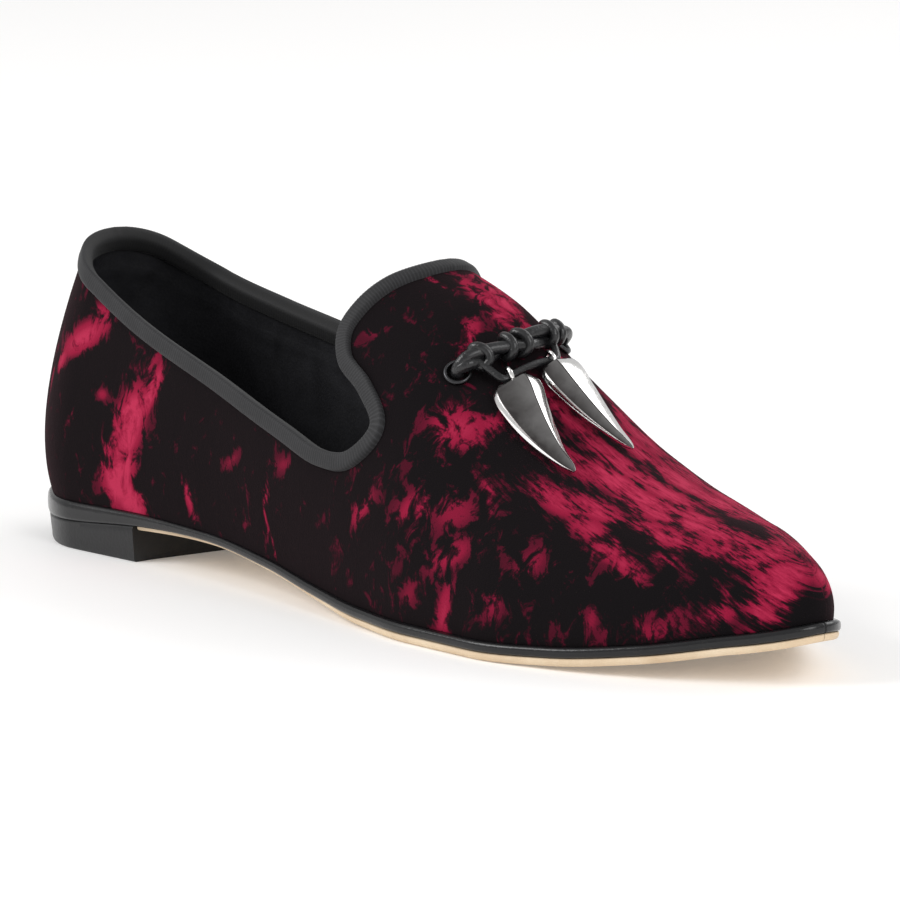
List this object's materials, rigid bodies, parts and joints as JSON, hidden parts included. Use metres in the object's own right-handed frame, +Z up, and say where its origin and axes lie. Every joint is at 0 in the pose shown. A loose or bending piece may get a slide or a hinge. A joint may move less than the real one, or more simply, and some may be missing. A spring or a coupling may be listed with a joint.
{
  "type": "velvet loafer",
  "caption": "Low right-foot loafer of crushed velvet with a bound collar and tongue, thin leather sole, low heel and metal tusk pendants on a knotted cord.",
  "frame": {"origin": "middle of the shoe's outline on the floor", "axes": "+X to the toe, -Y to the outer side of the foot, +Z up from the floor"},
  "size_m": [0.2578, 0.0768, 0.079],
  "materials": {
    "pale_leather": "smooth",
    "black_edge": "glossy",
    "heel_black": "satin",
    "lining_leather": "matte",
    "velvet": "crushed pile",
    "binding": "ribbed",
    "dark_metal": "satin",
    "cord_leather": "satin",
    "polished_metal": "polished"
  },
  "bodies": {
    "shoe": {"outsole": "pale_leather", "midsole": "black_edge", "heel": "heel_black", "insole": "lining_leather", "upper": "velvet", "collar_binding": "binding", "eyelet_lateral": "dark_metal", "eyelet_medial": "dark_metal", "knot_cord": "cord_leather"},
    "lateral_pendant": {"pendant_lateral": "polished_metal"},
    "medial_pendant": {"pendant_medial": "polished_metal"}
  },
  "joints": [
    {"name": "lateral_pendant_lift", "type": "hinge", "parent": "shoe", "child": "lateral_pendant", "pos_m": [0.03847, -0.00951, 0.05766], "axis": [-0.3798, -0.8719, -0.309], "range_deg": [0, 80]},
    {"name": "medial_pendant_lift", "type": "hinge", "parent": "shoe", "child": "medial_pendant", "pos_m": [0.03858, 0.00267, 0.06002], "axis": [-0.168, -0.9467, -0.2748], "range_deg": [0, 80]}
  ]
}
